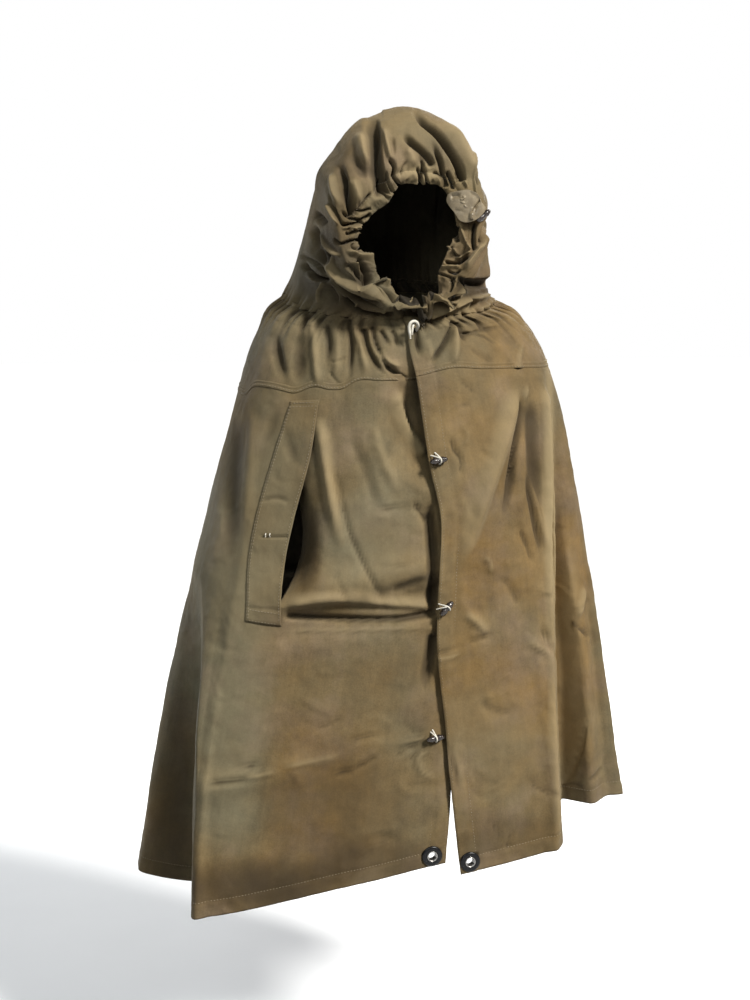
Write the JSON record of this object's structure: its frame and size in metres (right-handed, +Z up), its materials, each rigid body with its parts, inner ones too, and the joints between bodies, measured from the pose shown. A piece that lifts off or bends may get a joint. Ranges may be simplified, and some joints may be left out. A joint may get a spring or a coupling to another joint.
{
  "type": "hooded canvas cape poncho",
  "caption": "Hooded canvas cape, gathered by drawcords at neck and face, open down the front with toggles, with an arm slit under a flap and eyelets at the hem corners.",
  "frame": {"origin": "middle of the neck drawcord line, where the cape sits on the shoulders", "axes": "+Z up along the hang of the cloth, front facing -Y, the wearer's left at +X"},
  "size_m": [0.8896, 0.4352, 1.3487],
  "materials": {
    "canvas": "worn olive canvas",
    "leather": "rubbed grey-tan leather",
    "toggle_wood": "dark stained, satin",
    "cotton_cord": "white twisted cotton",
    "eyelet_metal": "black, worn"
  },
  "bodies": {
    "root": {"hood": "canvas", "hood_casing": "canvas", "neck_casing": "canvas", "yoke": "canvas", "lower_cape": "canvas", "arm_flap": "canvas", "hood_tab": "leather", "hood_toggle": "toggle_wood", "toggle_top": "toggle_wood", "toggle_middle": "toggle_wood", "toggle_bottom": "toggle_wood", "toggle_top_loop": "cotton_cord", "toggle_middle_loop": "cotton_cord", "toggle_bottom_loop": "cotton_cord", "eyelet_right": "eyelet_metal", "eyelet_left": "eyelet_metal", "drawcord_knot": "cotton_cord", "drawcord_end": "cotton_cord"}
  },
  "joints": []
}
